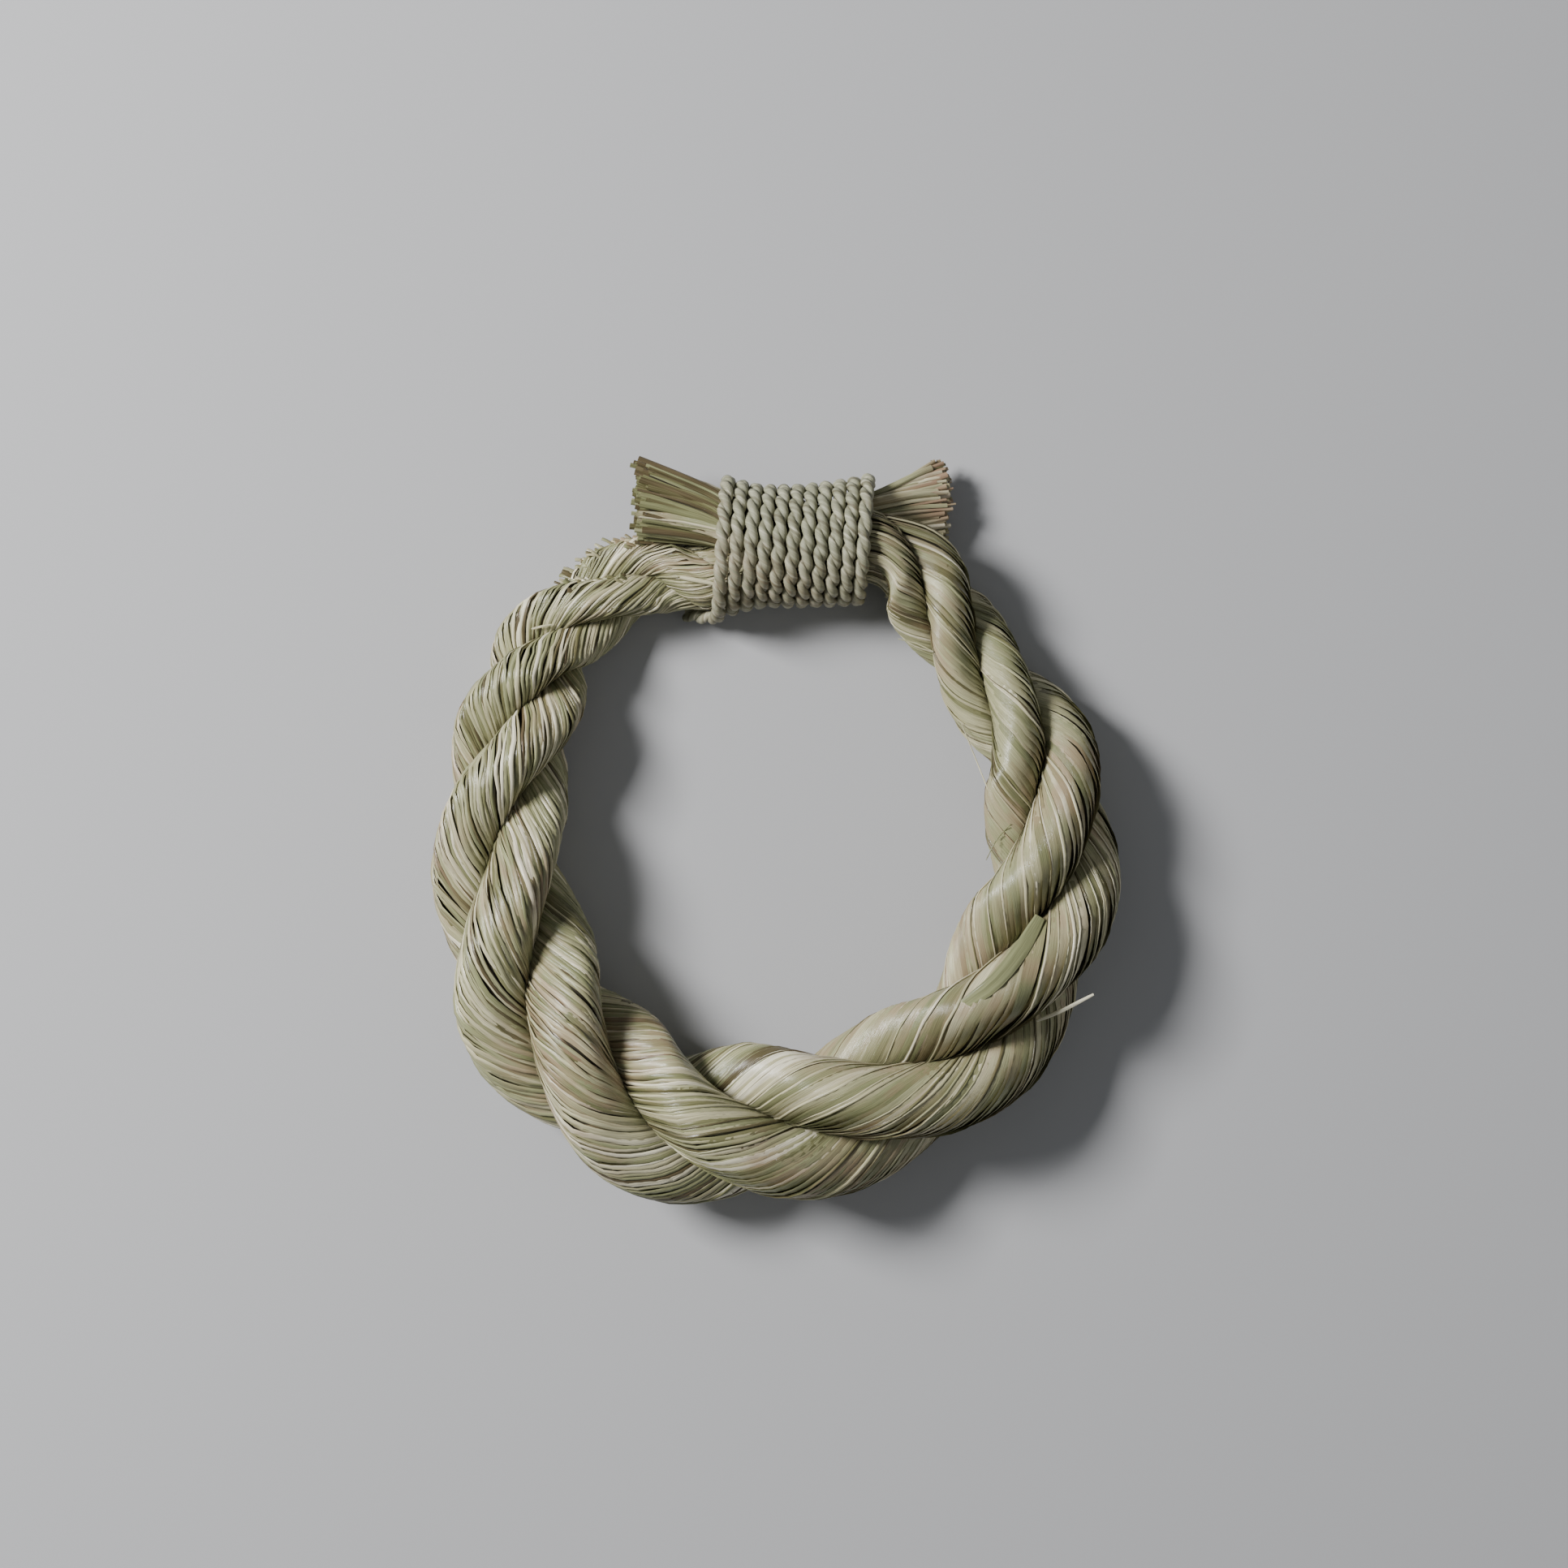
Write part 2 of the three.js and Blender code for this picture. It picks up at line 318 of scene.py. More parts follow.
@dataclass
class Rope:
    """The rope's course: where it runs, how thick it is and how its strands turn round it.

    bundle_turn and bundle_width hold a value at the coil's left and what its right end adds.
    """

    ring_radius: float = 115.0
    thickest: float = 33.0
    rest_flat: float = 3.0
    strands: int = 3
    fit_gap: float = 0.3
    tuft_length: float = 31.0
    left_tuft: Tuft = Tuft(33.0, 20.0, 0.56, 8.0, 1.75)
    right_tuft: Tuft = Tuft(30.0, 16.0, 0.68, -14.0, -2.3)
    bundle_turn: Pair = (20.0, 95.0)
    bundle_width: Pair = (0.7, 0.04)
    groove_dip: float = 0.6
    coil: Coil = field(init=False)
    shift: Array = field(init=False)

    def __post_init__(self) -> None:
        """Lays out the stations and the frame's shift."""
        self.coil = Coil(self.ring_radius)
        rows = np.array(self._stations())
        self.centres = rows[:, 0:3]
        self.sizes = rows[:, 3:6]
        self.turns = rows[:, 6:8]
        self.shift = np.zeros(3)
        self.share_table = np.linspace(0.0, 1.0, 4001)
        self.lay_table = spline(self.turns, self.share_table)[:, 1]
        self.shift = self._shift_to_frame()

    @property
    def sector(self) -> float:
        """Each strand's part of the section, in degrees."""
        return 360.0 / self.strands

    def _ring_station(self, groove: Groove, index: int) -> list[float]:
        """One station on the ring."""
        bearing = math.radians(groove.bearing)
        reach = groove.reach * self.ring_radius
        girth = groove.girth * self.thickest
        height = girth - self.rest_flat + groove.lift * self.thickest
        x, y = reach * math.cos(bearing), reach * math.sin(bearing)
        return [x, y, height, girth, girth, 0.0, math.pi / 2, float(index)]

    def _bound_station(self, share: float, upper: bool, lay: float) -> list[float]:
        """One station inside the coil, in the front layer or in the one behind."""
        coil = self.coil
        x = coil.left + share * coil.length
        angle = math.radians(graded(self.bundle_turn, share))
        half = coil.inside(x, angle) / 2
        side = half if upper else -half
        y = float(coil.centre_y(np.array(x))) + side * math.cos(angle)
        z = coil.centre_z + side * math.sin(angle)
        across = graded(self.bundle_width, share) * coil.inside(x, angle + math.pi / 2)
        return [x, y, z, half - self.fit_gap, across, 1.0, angle, lay]

    def _stations(self) -> list[list[float]]:
        """All stations, from the right tuft round the ring to the left tuft."""
        coil, left, right = self.coil, self.left_tuft, self.right_tuft
        last = len(GROOVES_ON_TOP) - 1
        right_end = right.end(coil, coil.right + self.tuft_length)
        left_end = left.end(coil, coil.left - self.tuft_length)
        return [
            [*right_end, right.thickness / 2, right.width / 2, 1.0, math.pi / 2, right.lay],
            *[self._bound_station(share, False, lay) for share, lay in BEHIND],
            *[self._ring_station(groove, index) for index, groove in enumerate(GROOVES_ON_TOP)],
            *[self._bound_station(share, True, last + lay) for share, lay in IN_FRONT],
            [*left_end, left.width / 2, left.thickness / 2, 1.0, 0.0, last + left.lay],
        ]

    def _shift_to_frame(self) -> Array:
        """How far the solids lie from the ring's own middle, from the first strand's box."""
        low = np.array(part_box("strand_1")[0]) / MM
        high = np.array(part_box("strand_1")[1]) / MM
        spans = len(self.centres) - 1
        steps = []
        for span in range(spans):
            pressed = self.sizes[span, 2] + self.sizes[span + 1, 2] > 1
            count = SOLID_STEPS_BOUND if pressed else SOLID_STEPS_RING
            steps += [(span + step / count) / spans for step in range(count)]
        share = np.array(steps + [1.0])
        psi = np.linspace(-CREST_HALF, CREST_HALF, SOLID_CORNERS)
        grid_share, grid_psi = np.meshgrid(share, psi, indexing="ij")
        points, _ = self.surface(0, grid_share, grid_psi, 0.0)
        flat = points.reshape(-1, 3)
        offset = (low + high) / 2 - (flat.min(axis=0) + flat.max(axis=0)) / 2
        return np.array([offset[0], offset[1], 0.0])

    def share_at(self, lay: Array) -> Array:
        """The share of the whole rope where the lay has come so far."""
        return np.interp(lay, self.lay_table, self.share_table)

    def place(self, share: Array) -> dict[str, Array]:
        """Everything that a section needs at some shares of the rope."""
        sizes = spline(self.sizes, share)
        turn = spline(self.turns, share)
        near = 1e-4
        ahead = spline(self.centres, share + near) - spline(self.centres, share - near)
        pressed = np.clip(sizes[..., 2], 0.0, 1.0)
        outward = unit(np.stack([ahead[..., 1], -ahead[..., 0], 0 * ahead[..., 0]], axis=-1))
        square = np.array([0.0, 1.0, 0.0])
        outward = unit(outward + (square - outward) * pressed[..., None])
        return {
            "centre": spline(self.centres, share),
            "outward": outward,
            "first": sizes[..., 0],
            "second": sizes[..., 1],
            "round": pressed,
            "direction": turn[..., 0],
            "lay": turn[..., 1],
        }

    def inside_section(self, share: Array, reach: Array, angle: Array) -> Array:
        """A point of the rope's section.

        Args:
            share: where along the rope.
            reach: distance from the rope's centre, as a share of its girth there.
            angle: direction from straight up towards the outside, in radians.

        Returns:
            The point.
        """
        at = self.place(share)
        flat = np.stack([np.sin(angle) * reach, np.cos(angle) * reach], axis=-1)
        axis = np.stack([np.cos(at["direction"]), np.sin(at["direction"])], axis=-1)
        cross = np.stack([-axis[..., 1], axis[..., 0]], axis=-1)
        first = at["first"] * (flat * axis).sum(axis=-1)
        second = at["second"] * (flat * cross).sum(axis=-1)
        pressed = axis * first[..., None] + cross * second[..., None]
        point = at["centre"] + at["outward"] * pressed[..., :1]
        point[..., 2] += pressed[..., 1]
        return point + self.shift

    def surface(
        self, strand: int, share: Array, psi: Array, lift: Array | float
    ) -> tuple[Array, Array]:
        """A point on one strand's skin.

        Args:
            strand: which strand, from 0.
            share: where along the rope.
            psi: degrees round the strand from its crest; past 120 it dips into the groove.
            lift: distance out of the skin.

        Returns:
            The point and the skin's outward direction.
        """
        at = self.place(share)
        turn = 2 * math.pi / self.strands
        middle = turn * (0.5 + at["lay"] - strand)
        half = np.clip(psi / 2, -CREST_HALF / 2, CREST_HALF / 2)
        past = np.maximum(np.abs(psi) - CREST_HALF, 0.0) / (CREST_HALF / 2)
        offset = np.radians(half)
        reach = (1 - at["round"]) * np.cos(offset) + at["round"]
        reach = reach * (1 - self.groove_dip * past)
        point = self.inside_section(share, reach, middle + offset)
        inset = self.fit_gap / 2 / math.sin(turn / 2)
        point = point + at["outward"] * (inset * np.sin(middle))[..., None]
        point[..., 2] += inset * np.cos(middle)
        facing = middle + np.radians((1 - at["round"]) * psi + at["round"] * half)
        normal = at["outward"] * np.sin(facing)[..., None] + UP * np.cos(facing)[..., None]
        return point + normal * np.asarray(lift)[..., None], normal


def tube_faces(rings: int, sides: int) -> list[list[int]]:
    """Faces of a closed tube whose corners count round each ring, one ring after the other.

    Args:
        rings: number of rings, at least two.
        sides: corners in each ring.

    Returns:
        The corner numbers of each face.
    """
    bm = bmesh.new()
    bmesh.ops.create_cone(
        bm, cap_ends=True, cap_tris=False, segments=sides, radius1=1.0, radius2=1.0, depth=1.0
    )
    if rings > 2:
        long_edges = [
            edge for edge in bm.edges if abs(edge.verts[0].co.z - edge.verts[1].co.z) > 0.5
        ]
        bmesh.ops.subdivide_edges(bm, edges=long_edges, cuts=rings - 2, use_grid_fill=True)
    start = min(math.atan2(vert.co.y, vert.co.x) % (2 * math.pi) for vert in bm.verts)
    number = {}
    for vert in bm.verts:
        angle = math.atan2(vert.co.y, vert.co.x) - start
        side = round(angle * sides / (2 * math.pi)) % sides
        ring = round((vert.co.z + 0.5) * (rings - 1))
        number[vert] = ring * sides + side
    faces = [[number[vert] for vert in face.verts] for face in bm.faces]
    bm.free()
    return faces


@dataclass
class Skein:
    """Many tubes of one make that become one piece."""

    name: str
    rings: int
    sides: int
    points: list[Array] = field(default_factory=list)
    marks: dict[str, list[Array]] = field(default_factory=dict)

    def add(self, points: Array, **marks: Array | float) -> None:
        """Takes in tubes.

        Args:
            points: corners as tube, ring, side, coordinate.
            marks: values that the finish reads, for all or for each tube, ring and side.
        """
        self.points.append(points)
        for key, value in marks.items():
            spread = np.reshape(value, np.shape(value) + (1,) * (3 - np.ndim(value)))
            self.marks.setdefault(key, []).append(np.broadcast_to(spread, points.shape[:3]))

    def make(self) -> bpy.types.Object:
        """Makes the piece's mesh, which nowhere goes below the ground."""
        points = np.concatenate(self.points)
        points[..., 2] = np.maximum(points[..., 2], 0.0)
        corners = points.reshape(-1, 3) * MM
        template = tube_faces(self.rings, self.sides)
        size = self.rings * self.sides
        faces = []
        for tube in range(len(points)):
            start = tube * size
            faces += [[start + corner for corner in face] for face in template]
        mesh = bpy.data.meshes.new(self.name)
        mesh.from_pydata(corners.tolist(), [], faces)
        mesh.polygons.foreach_set("use_smooth", [True] * len(mesh.polygons))
        mesh.set_sharp_from_angle(angle=SHARP_ANGLE)
        for key, values in self.marks.items():
            attribute = mesh.attributes.new(key, "FLOAT", "POINT")
            flat = np.concatenate(values).reshape(-1).astype(np.float32)
            attribute.data.foreach_set("value", flat)
        mesh.update()
        LOG.info("%s: %d tubes, %d faces", self.name, len(points), len(mesh.polygons))
        return put(self.name, mesh)


def sweep(
    line: Array, normal: Array, width: Array, height: Array, sides: int, roll: Array | float = 0.0
) -> tuple[Array, Array]:
    """Rings of a flattened tube round centre lines.

    Args:
        line: centre points as tube, ring, coordinate.
        normal: the direction that the flat side faces, in the same order.
        width: half width for each tube and ring.
        height: half height for each tube and ring.
        sides: corners in each ring.
        roll: how far each tube is turned about its own line, in radians.

    Returns:
        The corners, and how far across the tube each one lies, from -1 to 1.
    """
    along = unit(np.gradient(line, axis=1))
    level = unit(np.cross(normal, along))
    upright = np.cross(along, level)
    turn = np.broadcast_to(roll, line.shape[:2])[..., None]
    across = level * np.cos(turn) + upright * np.sin(turn)
    up = upright * np.cos(turn) - level * np.sin(turn)
    angle = 2 * math.pi * np.arange(sides) / sides
    side = np.cos(angle)[None, None, :, None]
    rise = np.sin(angle)[None, None, :, None]
    corners = (
        line[:, :, None, :]
        + across[:, :, None, :] * side * width[:, :, None, None]
        + up[:, :, None, :] * rise * height[:, :, None, None]
    )
    return corners, np.broadcast_to(np.cos(angle), corners.shape[:3])


class Tree:
    """The node tree of one finish, with short ways to add to it."""

    def __init__(self, name: str) -> None:
        """Starts the material."""
        self.material = bpy.data.materials.new(name)
        self.material.use_nodes = True
        self.shader = self.material.node_tree.nodes["Principled BSDF"]

    def feed(self, node: bpy.types.Node, inputs: Inputs) -> None:
        """Links a node's inputs to sockets, or sets them to plain values."""
        for key, value in inputs.items():
            if isinstance(value, Socket):
                self.material.node_tree.links.new(value, node.inputs[key])
            else:
                node.inputs[key].default_value = value

    def node(self, kind: str, inputs: Inputs, **settings: str) -> bpy.types.Node:
        """Adds a node, with its settings and what goes into it."""
        node = self.material.node_tree.nodes.new(kind)
        for name, value in settings.items():
            setattr(node, name, value)
        self.feed(node, inputs)
        return node

    def attribute(self, name: str) -> Socket:
        """A value that the mesh carries."""
        return self.node("ShaderNodeAttribute", {}, attribute_name=name).outputs["Fac"]

    def product(self, first: Socket, second: Socket | float) -> Socket:
        """A value times another one or a number."""
        return self.node("ShaderNodeMath", {0: first, 1: second}, operation="MULTIPLY").outputs[0]

    def place(self, **factors: float) -> Socket:
        """A place for a noise, made of values that the mesh carries times their factors."""
        parts = [self.product(self.attribute(name), factor) for name, factor in factors.items()]
        return self.node("ShaderNodeCombineXYZ", dict(enumerate(parts))).outputs["Vector"]

    def noise(self, place: Socket, scale: float, detail: float) -> Socket:
        """A noise at some place."""
        inputs = {"Vector": place, "Scale": scale, "Detail": detail}
        return self.node("ShaderNodeTexNoise", inputs).outputs["Fac"]

    def remap(self, value: Socket, source: Pair, target: Pair) -> Socket:
        """A value moved from one range to another and held inside it."""
        inputs = {"Value": value, "From Min": source[0], "From Max": source[1]}
        inputs |= {"To Min": target[0], "To Max": target[1]}
        return self.node("ShaderNodeMapRange", inputs).outputs["Result"]

    def mixed(
        self, blend: str, amount: Socket | float, colour: Socket, other: Socket | tuple
    ) -> Socket:
        """A colour mixed with another one or with a shade."""
        inputs = {"Factor": amount, 6: colour, 7: other}
        return self.node("ShaderNodeMix", inputs, data_type="RGBA", blend_type=blend).outputs[2]


@dataclass(frozen=True)
class StrawFinish:
    """Dry straw: each stalk has its own tone, fine lines along it and stains here and there, with
    painted shade where its depth mark is high.
    """

    name: str
    tones: tuple[tuple[float, Triple], ...]
    stain: Triple = (0.37, 0.25, 0.16)
    stain_share: float = 0.6
    roughness: Pair = (0.18, 0.4)
    line_range: Pair = (0.3, 0.7)
    line_shade: Pair = (0.6, 1.3)
    # Painted shade: the colour is multiplied from the first share to the second as the depth mark
    # goes from 0 to 1.
    painted_shade_range: Pair = (1.0, 0.45)

    def material(self) -> bpy.types.Material:
        """Builds the finish's node tree."""
        tree = Tree(self.name)
        place = tree.place(across=3.2, along=0.05, tone=91.0)
        lines = tree.noise(place, 1.6, 3.0)
        shade = tree.remap(lines, self.line_range, self.line_shade)
        colour = tree.mixed("MULTIPLY", 1.0, self._toned(tree), shade)
        colour = tree.mixed("MIX", self._stains(tree), colour, (*self.stain, 1.0))
        # Painted shade in grooves, under layers, cut hollows and the cord's creases, read from the
        # depth mark.
        shadow = tree.remap(tree.attribute("depth"), (0.0, 1.0), self.painted_shade_range)
        colour = tree.mixed("MULTIPLY", 1.0, colour, shadow)
        rough = tree.remap(lines, self.line_range, self.roughness)
        bump = {"Distance": 0.00016, "Strength": 0.8, "Height": lines}
        normal = tree.node("ShaderNodeBump", bump).outputs["Normal"]
        tree.feed(tree.shader, {"Base Color": colour, "Roughness": rough, "Normal": normal})
        return tree.material

    def _toned(self, tree: Tree) -> Socket:
        """The stalk's own colour."""
        ramp = tree.node("ShaderNodeValToRGB", {"Fac": tree.attribute("tone")})
        stops = ramp.color_ramp.elements
        for index, (position, colour) in enumerate(self.tones):
            stop = stops[index] if index < len(stops) else stops.new(position)
            stop.position = position
            stop.color = (*colour, 1.0)
        return ramp.outputs["Color"]

    def _stains(self, tree: Tree) -> Socket:
        """How stained a place is: stalks in some regions, each along its own parts."""
        solid = tree.node("ShaderNodeTexCoord", {}).outputs["Object"]
        region = tree.noise(solid, 17.0, 2.0)
        spots = tree.noise(tree.place(along=0.055, tone=173.0), 1.0, 2.0)
        wide = tree.remap(region, (0.48, 0.62), (0.1, 1.0))
        near = tree.remap(spots, (0.4, 0.6), (0.0, self.stain_share))
        return tree.product(tree.product(wide, near), tree.attribute("worn"))


STRAW_TONES = (
    (0.0, (0.095, 0.07, 0.035)),
    (0.16, (0.165, 0.16, 0.07)),
    (0.34, (0.27, 0.28, 0.14)),
    (0.52, (0.39, 0.385, 0.215)),
    (0.7, (0.52, 0.485, 0.295)),
    (0.86, (0.67, 0.62, 0.42)),
    (1.0, (0.84, 0.79, 0.6)),
)
CORD_TONES = (
    (0.0, (0.16, 0.145, 0.085)),
    (0.35, (0.31, 0.315, 0.205)),
    (0.7, (0.44, 0.44, 0.3)),
    (1.0, (0.6, 0.57, 0.43)),
)
# Near-black tones of the strands' hearts: painted shade that shows through the gaps between stalks.
HEART_SHADE_TONES = (
    (0.0, (0.035, 0.028, 0.016)),
    (1.0, (0.07, 0.058, 0.034)),
)


def dress(piece: bpy.types.Object, material: bpy.types.Material, slot: Slot, *nodes: str) -> None:
    """Gives a piece its finish and its place in the frame.

    Args:
        piece: the finished piece.
        material: its finish.
        slot: the record's slot for that finish; not used.
        nodes: the solids that it stands for.
    """
    piece.data.materials.append(material)
    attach(piece, BODY)
    if nodes:
        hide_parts(*nodes)


@dataclass(frozen=True)
class Stray:
    """One loose straw or fibre that leaves the rope.

    points are millimetres from the ring's middle; strand is the one that it grows from.
    """

    strand: int
    points: tuple[Triple, ...]
    width: float
    tone: float


STRAYS = (
    Stray(0, ((-26.0, 101.2, 35.4), (-34.8, 103.1, 35.2), (-40.4, 104.1, 34.6)), 0.9, 0.8),
    Stray(1, ((103.8, -75.4, 40.0), (113.5, -71.2, 43.0), (126.5, -64.4, 45.0)), 0.8, 0.97),
    Stray(
        2,
        (
            (104.8, -33.2, 45.8),
            (98.5, -43.4, 51.4),
            (91.9, -52.2, 55.7),
            (83.6, -60.8, 57.4),
            (72.0, -69.5, 53.5),
        ),
        3.3,
        0.34,
    ),
    Stray(2, ((48.3, 79.4, 27.0), (55.3, 77.7, 27.0), (62.5, 74.1, 31.0)), 0.25, 0.6),
    Stray(2, ((74.1, 45.4, 24.0), (80.7, 28.9, 24.0), (86.3, 14.0, 32.0)), 0.25, 0.8),
    Stray(1, ((84.0, -10.7, 29.0), (88.3, -2.5, 29.0), (93.9, 4.1, 33.0)), 0.25, 0.3),
    Stray(1, ((-100.8, 83.3, 30.4), (-96.5, 84.3, 31.4), (-92.6, 85.0, 31.2)), 0.5, 0.75),
)


@dataclass(frozen=True)
class Bundles:
    """Neighbouring stalks that swell, sink and bend together.

    lay holds where along the rope the values stand; levels and swells hold them.
    """

    lay: Array
    levels: Array
    swells: Array

    @classmethod
    def drawn(cls, draw: Draw, first: float, last: float) -> "Bundles":
        """Draws the values for one strand."""
        lay = np.arange(first, last + 0.3, 0.15)
        levels = np.clip(draw.normal(0.0, 0.6, (4, len(lay))), -1.0, 1.0)
        swells = np.clip(draw.normal(0.0, 0.6, (7, len(lay))), -1.2, 1.2)
        return cls(lay, levels, swells)

    def level(self, start: Array, row: int) -> Array:
        """One value for each stalk, from -1 to 1."""
        return np.interp(start, self.lay, self.levels[row])

    def swell(self, start: Array, q: Array) -> Array:
        """How much each stalk bulges at each of its rings."""
        knots = np.stack([np.interp(start, self.lay, row) for row in self.swells], axis=1)
        place = np.linspace(0.0, 1.0, len(self.swells))
        return np.stack([np.interp(q, place, row) for row in knots])


# Where along the lay stalks become wide blades, lie further apart, lap over their neighbours like
# shingles, run in even order, and stop bending about.
BROAD = Ramp(4.6, 2.0)
SPARSE = Ramp(5.0, 2.0)
SHINGLED = Ramp(3.5, 1.1)
ORDERLY_FROM = 4.2
FINE = Ramp(6.2, -1.5)
# Degrees from the crest over which painted shade darkens the skin towards the groove.
GROOVE_SHADE = Ramp(98.0, 34.0)


@dataclass(frozen=True)
class Stalks:
    """What the wound stalks are like.

    per_lay, sway, width, flatness, thickness, under_size and tone_spread hold a value for straws
    and what blades add to it; under_depth, loose, rippled and rolled one for straws and what
    shingling adds. crowd is for the outer and the under layer.
    """

    per_lay: Pair = (52.0, -31.0)
    crowd: Pair = (1.0, 0.62)
    sway: Pair = (0.6, 1.1)
    bend: float = 2.2
    bulge: float = 0.55
    width: Pair = (0.062, 0.078)
    flatness: Pair = (0.55, -0.4)
    thickness: Pair = (0.55, -0.37)
    under_size: Pair = (0.45, -0.3)
    under_depth: Pair = (0.8, 0.65)
    under_broad: float = 0.4
    loose: Pair = (0.45, -0.42)
    ripple: float = 0.18
    rippled: Pair = (1.0, -0.85)
    inset: float = 0.15
    sunk: float = 0.4
    rolled: Pair = (1.0, -0.95)
    shingle_roll: float = 0.26
    tone_spread: Pair = (0.26, -0.1)
    # How much the under layer's tone is lowered, as painted shade.
    under_painted_shade: float = 0.12
    # groove_painted_shade and under_shade set how much painted shade the depth mark gives the
    # groove and the under layer.
    groove_painted_shade: float = 0.7
    under_shade: float = 0.25
    blade_lines: float = 2.2


@dataclass(frozen=True)
class Ridge:
    """A line along the rope where its straws are bent over.

    bearing, shift and half_width are degrees round the rope from the top; rise is the height and
    what a bundle adds to it, in millimetres, and height the share of it that this line has.
    """

    bearing: float
    height: float
    kept: Ramp
    shift: float = 11.0
    rise: Pair = (1.4, 1.2)
    half_width: float = 28.0


RIDGES = (Ridge(50.0, 1.0, Ramp(7.0, -2.0)), Ridge(-42.0, 0.6, Ramp(6.2, -2.0)))


@dataclass
class Strand:
    """One of the rope's strands: a heart coloured near-black as painted shade, two layers of wound
    stalks and two cut ends.

    A stalk starts and ends edge degrees from the crest, and turns twist times as fast as the lay.
    """

    rope: Rope
    index: int
    first_lay: float = -1.3
    last_lay: float = 11.95
    lead: float = 1.2
    twist: float = 2.4
    edge: float = 132.0
    rings: int = 16
    sides: int = 6
    cut_sides: int = 8
    heart_rings: int = 260
    heart_sides: int = 22
    heart_depth: float = 1.8
    heart_ends: Pair = (0.006, 0.994)
    stalks: Stalks = Stalks()
    thread_count: int = 88
    fringe_count: int = 48
    tuft_count: int = 340
    tuft_rings: int = 8
    hollow_depth: float = 1.6

    @property
    def node(self) -> str:
        """The solid that this strand stands for."""
        return f"strand_{self.index + 1}"

    @property
    def q(self) -> Array:
        """Where a wound stalk's rings lie along it, from 0 to 1."""
        return np.linspace(0.0, 1.0, self.rings)

    def heart(self) -> bpy.types.Object:
        """The inside that shows between the stalks, coloured near-black as painted shade in the
        gaps.
        """
        rings, sides = self.heart_rings, self.heart_sides
        psi = np.concatenate([np.linspace(-CREST_HALF, CREST_HALF, sides - 1), [180.0]])
        share = np.linspace(*self.heart_ends, rings)
        grid_share, grid_psi = np.meshgrid(share, psi, indexing="ij")
        lift = np.where(np.abs(grid_psi) > CREST_HALF, 0.0, -self.heart_depth)
        points, _ = self.rope.surface(self.index, grid_share, grid_psi, lift)
        skein = Skein(f"{self.node}_heart", rings, sides)
        tone = (np.arange(rings)[None] * 0.37) % 1.0
        skein.add(points[None], tone=tone, across=0.0, along=0.0, depth=0.0)
        return skein.make()

    def wound(self) -> bpy.types.Object:
        """The stalks that wind round the strand."""
        draw = np.random.default_rng(WOUND_SEED + self.index)
        skein = Skein(f"{self.node}_stalks", self.rings, self.sides)
        bundles = Bundles.drawn(draw, self.first_lay - self.lead, self.last_lay)
        for layer in range(2):
            self._layer(draw, skein, layer, bundles)
        self._threads(draw, skein, bundles)
        return skein.make()

    def _starts(self, draw: Draw, layer: int) -> Array:
        """Where stalks start along the lay, fewer and wider ones from the bottom to the right."""
        stalks = self.stalks
        span = 2 * self.edge / (self.twist * self.rope.sector)
        lay = np.linspace(self.first_lay - span, self.last_lay, 2001)
        dense = stalks.crowd[layer] * graded(stalks.per_lay, SPARSE.at(lay))
        total = np.concatenate([[0.0], np.cumsum((dense[1:] + dense[:-1]) / 2 * np.diff(lay))])
        count = int(total[-1])
        even = np.interp(np.arange(count) + 0.5, total, lay)
        loose = np.where(even > ORDERLY_FROM, 0.22, 0.42)
        number = np.arange(count) + 0.5 + loose * draw.uniform(-1.0, 1.0, count)
        return np.interp(number, total, lay)

    def _layer(self, draw: Draw, skein: Skein, layer: int, bundles: Bundles) -> None:
        """One layer of stalks, the outer one first."""
        stalks, edge = self.stalks, self.edge
        start = self._starts(draw, layer)
        count = len(start)
        q = self.q[None, :]
        uneven = draw.normal(0.0, np.where(start > ORDERLY_FROM, 0.008, 0.03))
        twist = self.twist * (1 + uneven)[:, None]
        lay = start[:, None] + 2 * edge / (twist * self.rope.sector) * q
        share = self.rope.share_at(lay)
        wobble = waves(draw, count, 7, self.q)
        swell = bundles.swell(start, self.q)
        sway = graded(stalks.sway, FINE.at(lay))
        psi = edge - 2 * edge * q + wobble * sway + stalks.bend * swell
        girth = self.rope.place(share)["first"]
        broad = BROAD.at(start)[:, None]
        shingled = SHINGLED.at(start)[:, None]
        spread = draw.lognormal(-0.02, 0.24, count)[:, None]
        wide = np.where(draw.random(count) < 0.25, 1.4, 1.0)[:, None]
        size = spread * (1 + (wide - 1) * broad) * (1 + graded(stalks.under_size, broad) * layer)
        width = np.clip(0.5 * graded(stalks.width, broad) * girth * size, 0.45, 3.5)
        flat = width * graded(stalks.flatness, broad)
        height = np.minimum(flat, graded(stalks.thickness, broad))
        under = (graded(stalks.under_depth, shingled) + stalks.under_broad * broad) * layer
        lift = graded(stalks.loose, shingled) * draw.uniform(-1.0, 1.0, count)[:, None] - under
        ripple = stalks.ripple * wobble * graded(stalks.rippled, shingled)
        lift = lift + ripple - stalks.inset + stalks.bulge * swell
        lift = lift + self._ridge(bundles, start, lay, psi) - height * stalks.sunk
        line, normal = self.rope.surface(self.index, share, psi, lift)
        own_roll = draw.normal(0.0, 0.22, count)[:, None]
        roll = own_roll * graded(stalks.rolled, shingled) + stalks.shingle_roll * shingled
        points, across = sweep(line, normal, width, height, skein.sides, roll)
        own_tone = draw.normal(0.0, 1.0, count) * graded(stalks.tone_spread, broad[:, 0])
